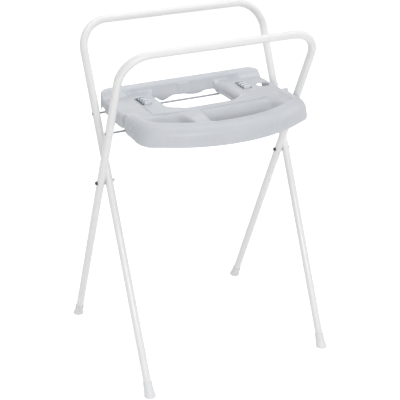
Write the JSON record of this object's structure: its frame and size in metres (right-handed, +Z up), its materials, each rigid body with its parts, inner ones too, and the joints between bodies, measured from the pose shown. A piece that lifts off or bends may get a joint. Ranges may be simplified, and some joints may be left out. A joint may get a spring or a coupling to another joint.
{
  "type": "baby bath stand",
  "caption": "Folding stand for a baby bath: two crossed tube frames and a moulded tray that hooks over their cross rods and carries the bath.",
  "frame": {"origin": "on the floor, below the middle of the pivot axis", "axes": "+Z up, +X along the pivot axis to the right of a user who stands on the -Y side, +Y away from that user"},
  "size_m": [0.631, 0.5476, 0.98],
  "materials": {
    "frame_paint": "glossy white powder coat",
    "foot_plastic": "satin",
    "tray_plastic": "fine satin texture",
    "zinc_steel": "bright zinc",
    "dark_steel": "black zinc",
    "spacer_plastic": "satin"
  },
  "bodies": {
    "front_frame": {"front_frame_tube": "frame_paint", "foot_rear_left": "foot_plastic", "foot_rear_right": "foot_plastic", "front_rod": "zinc_steel", "pivot_bolt_left": "dark_steel", "pivot_bolt_right": "dark_steel", "pivot_nut_left": "zinc_steel", "pivot_nut_right": "zinc_steel", "pivot_spacer_left": "spacer_plastic", "pivot_spacer_right": "spacer_plastic"},
    "rear_frame": {"rear_frame_tube": "frame_paint", "foot_front_left": "foot_plastic", "foot_front_right": "foot_plastic", "rear_rod": "zinc_steel"},
    "tray": {"tray": "tray_plastic", "catch_spring_left": "zinc_steel", "catch_spring_right": "zinc_steel", "catch_keeper_left": "tray_plastic", "catch_keeper_right": "tray_plastic", "keeper_screws_left": "zinc_steel", "keeper_screws_right": "zinc_steel"},
    "catch_left": {"catch_left": "tray_plastic"},
    "catch_right": {"catch_right": "tray_plastic"}
  },
  "joints": [
    {"name": "frame_fold", "type": "hinge", "parent": "front_frame", "child": "rear_frame", "pos_m": [0, 0, 0.561], "axis": [1, 0, 0], "range_deg": [0, 43.8]},
    {"name": "tray_tip", "type": "hinge", "parent": "front_frame", "child": "tray", "pos_m": [0, -0.0793, 0.735], "axis": [1, 0, 0], "range_deg": [0, 114.5]},
    {"name": "catch_left_slide", "type": "slide", "parent": "tray", "child": "catch_left", "axis": [-1, 0, 0], "range_m": [0, 0.006], "stiffness_N_per_m": 400, "springref_m": -0.004, "deforming": ["catch_spring_left"]},
    {"name": "catch_right_slide", "type": "slide", "parent": "tray", "child": "catch_right", "axis": [1, 0, 0], "range_m": [0, 0.006], "stiffness_N_per_m": 400, "springref_m": -0.004, "deforming": ["catch_spring_right"]}
  ],
  "couplings": [
    {"joint": "tray_tip", "follows": "frame_fold", "ratio": 2.614}
  ]
}
